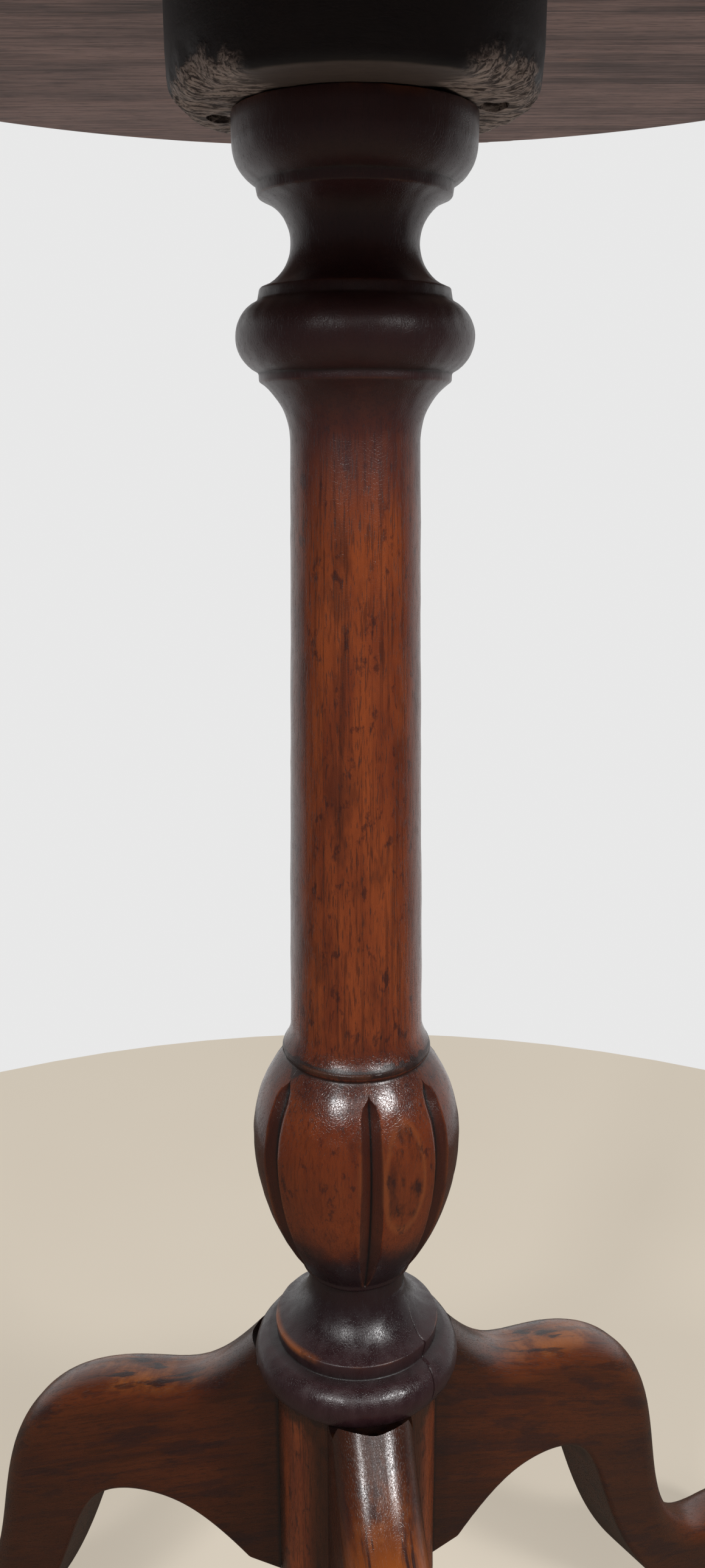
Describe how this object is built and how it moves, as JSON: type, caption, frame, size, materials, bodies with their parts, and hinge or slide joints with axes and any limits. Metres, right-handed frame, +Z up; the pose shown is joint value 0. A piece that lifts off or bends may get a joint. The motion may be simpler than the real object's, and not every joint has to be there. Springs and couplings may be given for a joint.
{
  "type": "wine table",
  "caption": "Small round pedestal table: glued board top on a round bearer block, turned pillar with a carved fluted bulb, cabriole tripod legs dovetailed into the drum.",
  "frame": {"origin": "floor point under the pillar's axis, the centre of the round top in plan", "axes": "+Z up the pillar, -Y to the front, +X to the right along the grain of the top"},
  "size_m": [0.448, 0.448, 0.602],
  "materials": {
    "top_wood": "bare weathered underside, waxed upper face",
    "block_wood": "dark stain, torn end grain at the lower edge",
    "pillar_wood": "old polish, worn on the carved lobes",
    "leg_wood": "old polish, worn on the knees",
    "wedge_wood": "bare",
    "screw_steel": "dull, darkened"
  },
  "bodies": {
    "root": {"top_board_front": "top_wood", "top_board_middle": "top_wood", "top_board_back": "top_wood", "bearer_block": "block_wood", "block_screw_left": "screw_steel", "block_screw_right": "screw_steel", "pillar": "pillar_wood", "tenon_wedge": "wedge_wood", "leg_front": "leg_wood", "leg_left": "leg_wood", "leg_right": "leg_wood"}
  },
  "joints": []
}
